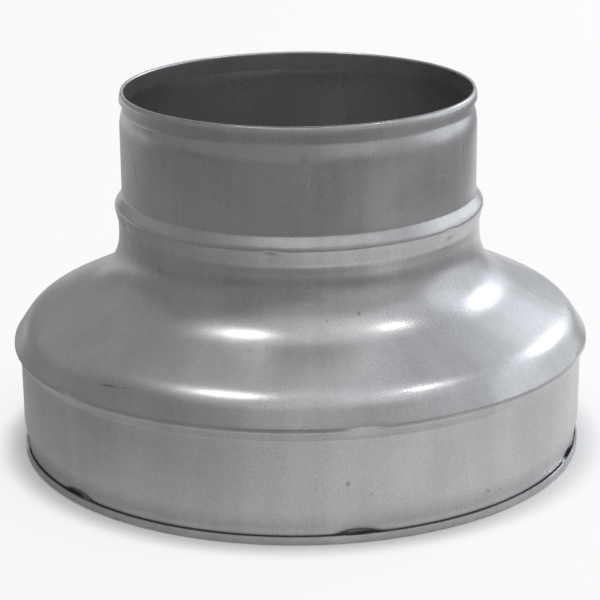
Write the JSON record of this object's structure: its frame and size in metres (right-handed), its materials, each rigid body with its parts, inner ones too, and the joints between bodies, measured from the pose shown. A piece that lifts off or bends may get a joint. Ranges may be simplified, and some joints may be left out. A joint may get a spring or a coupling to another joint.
{
  "type": "duct reducer",
  "caption": "Round concentric duct reducer of pressed galvanised sheet, stepping a wide duct down to a narrow one, with hemmed spigots, a stop bead and an overhanging shoulder.",
  "frame": {"origin": "centre of the base, on the plane that the large end's folded edge stands on", "axes": "+Z along the air path, from the large end to the small end; X and Y are alike"},
  "size_m": [0.2032, 0.2032, 0.1275],
  "materials": {
    "galvanised_sheet": "hot-dip galvanised, semi-gloss zinc, as pressed"
  },
  "bodies": {
    "root": {"reducer_body": "galvanised_sheet"}
  },
  "joints": []
}
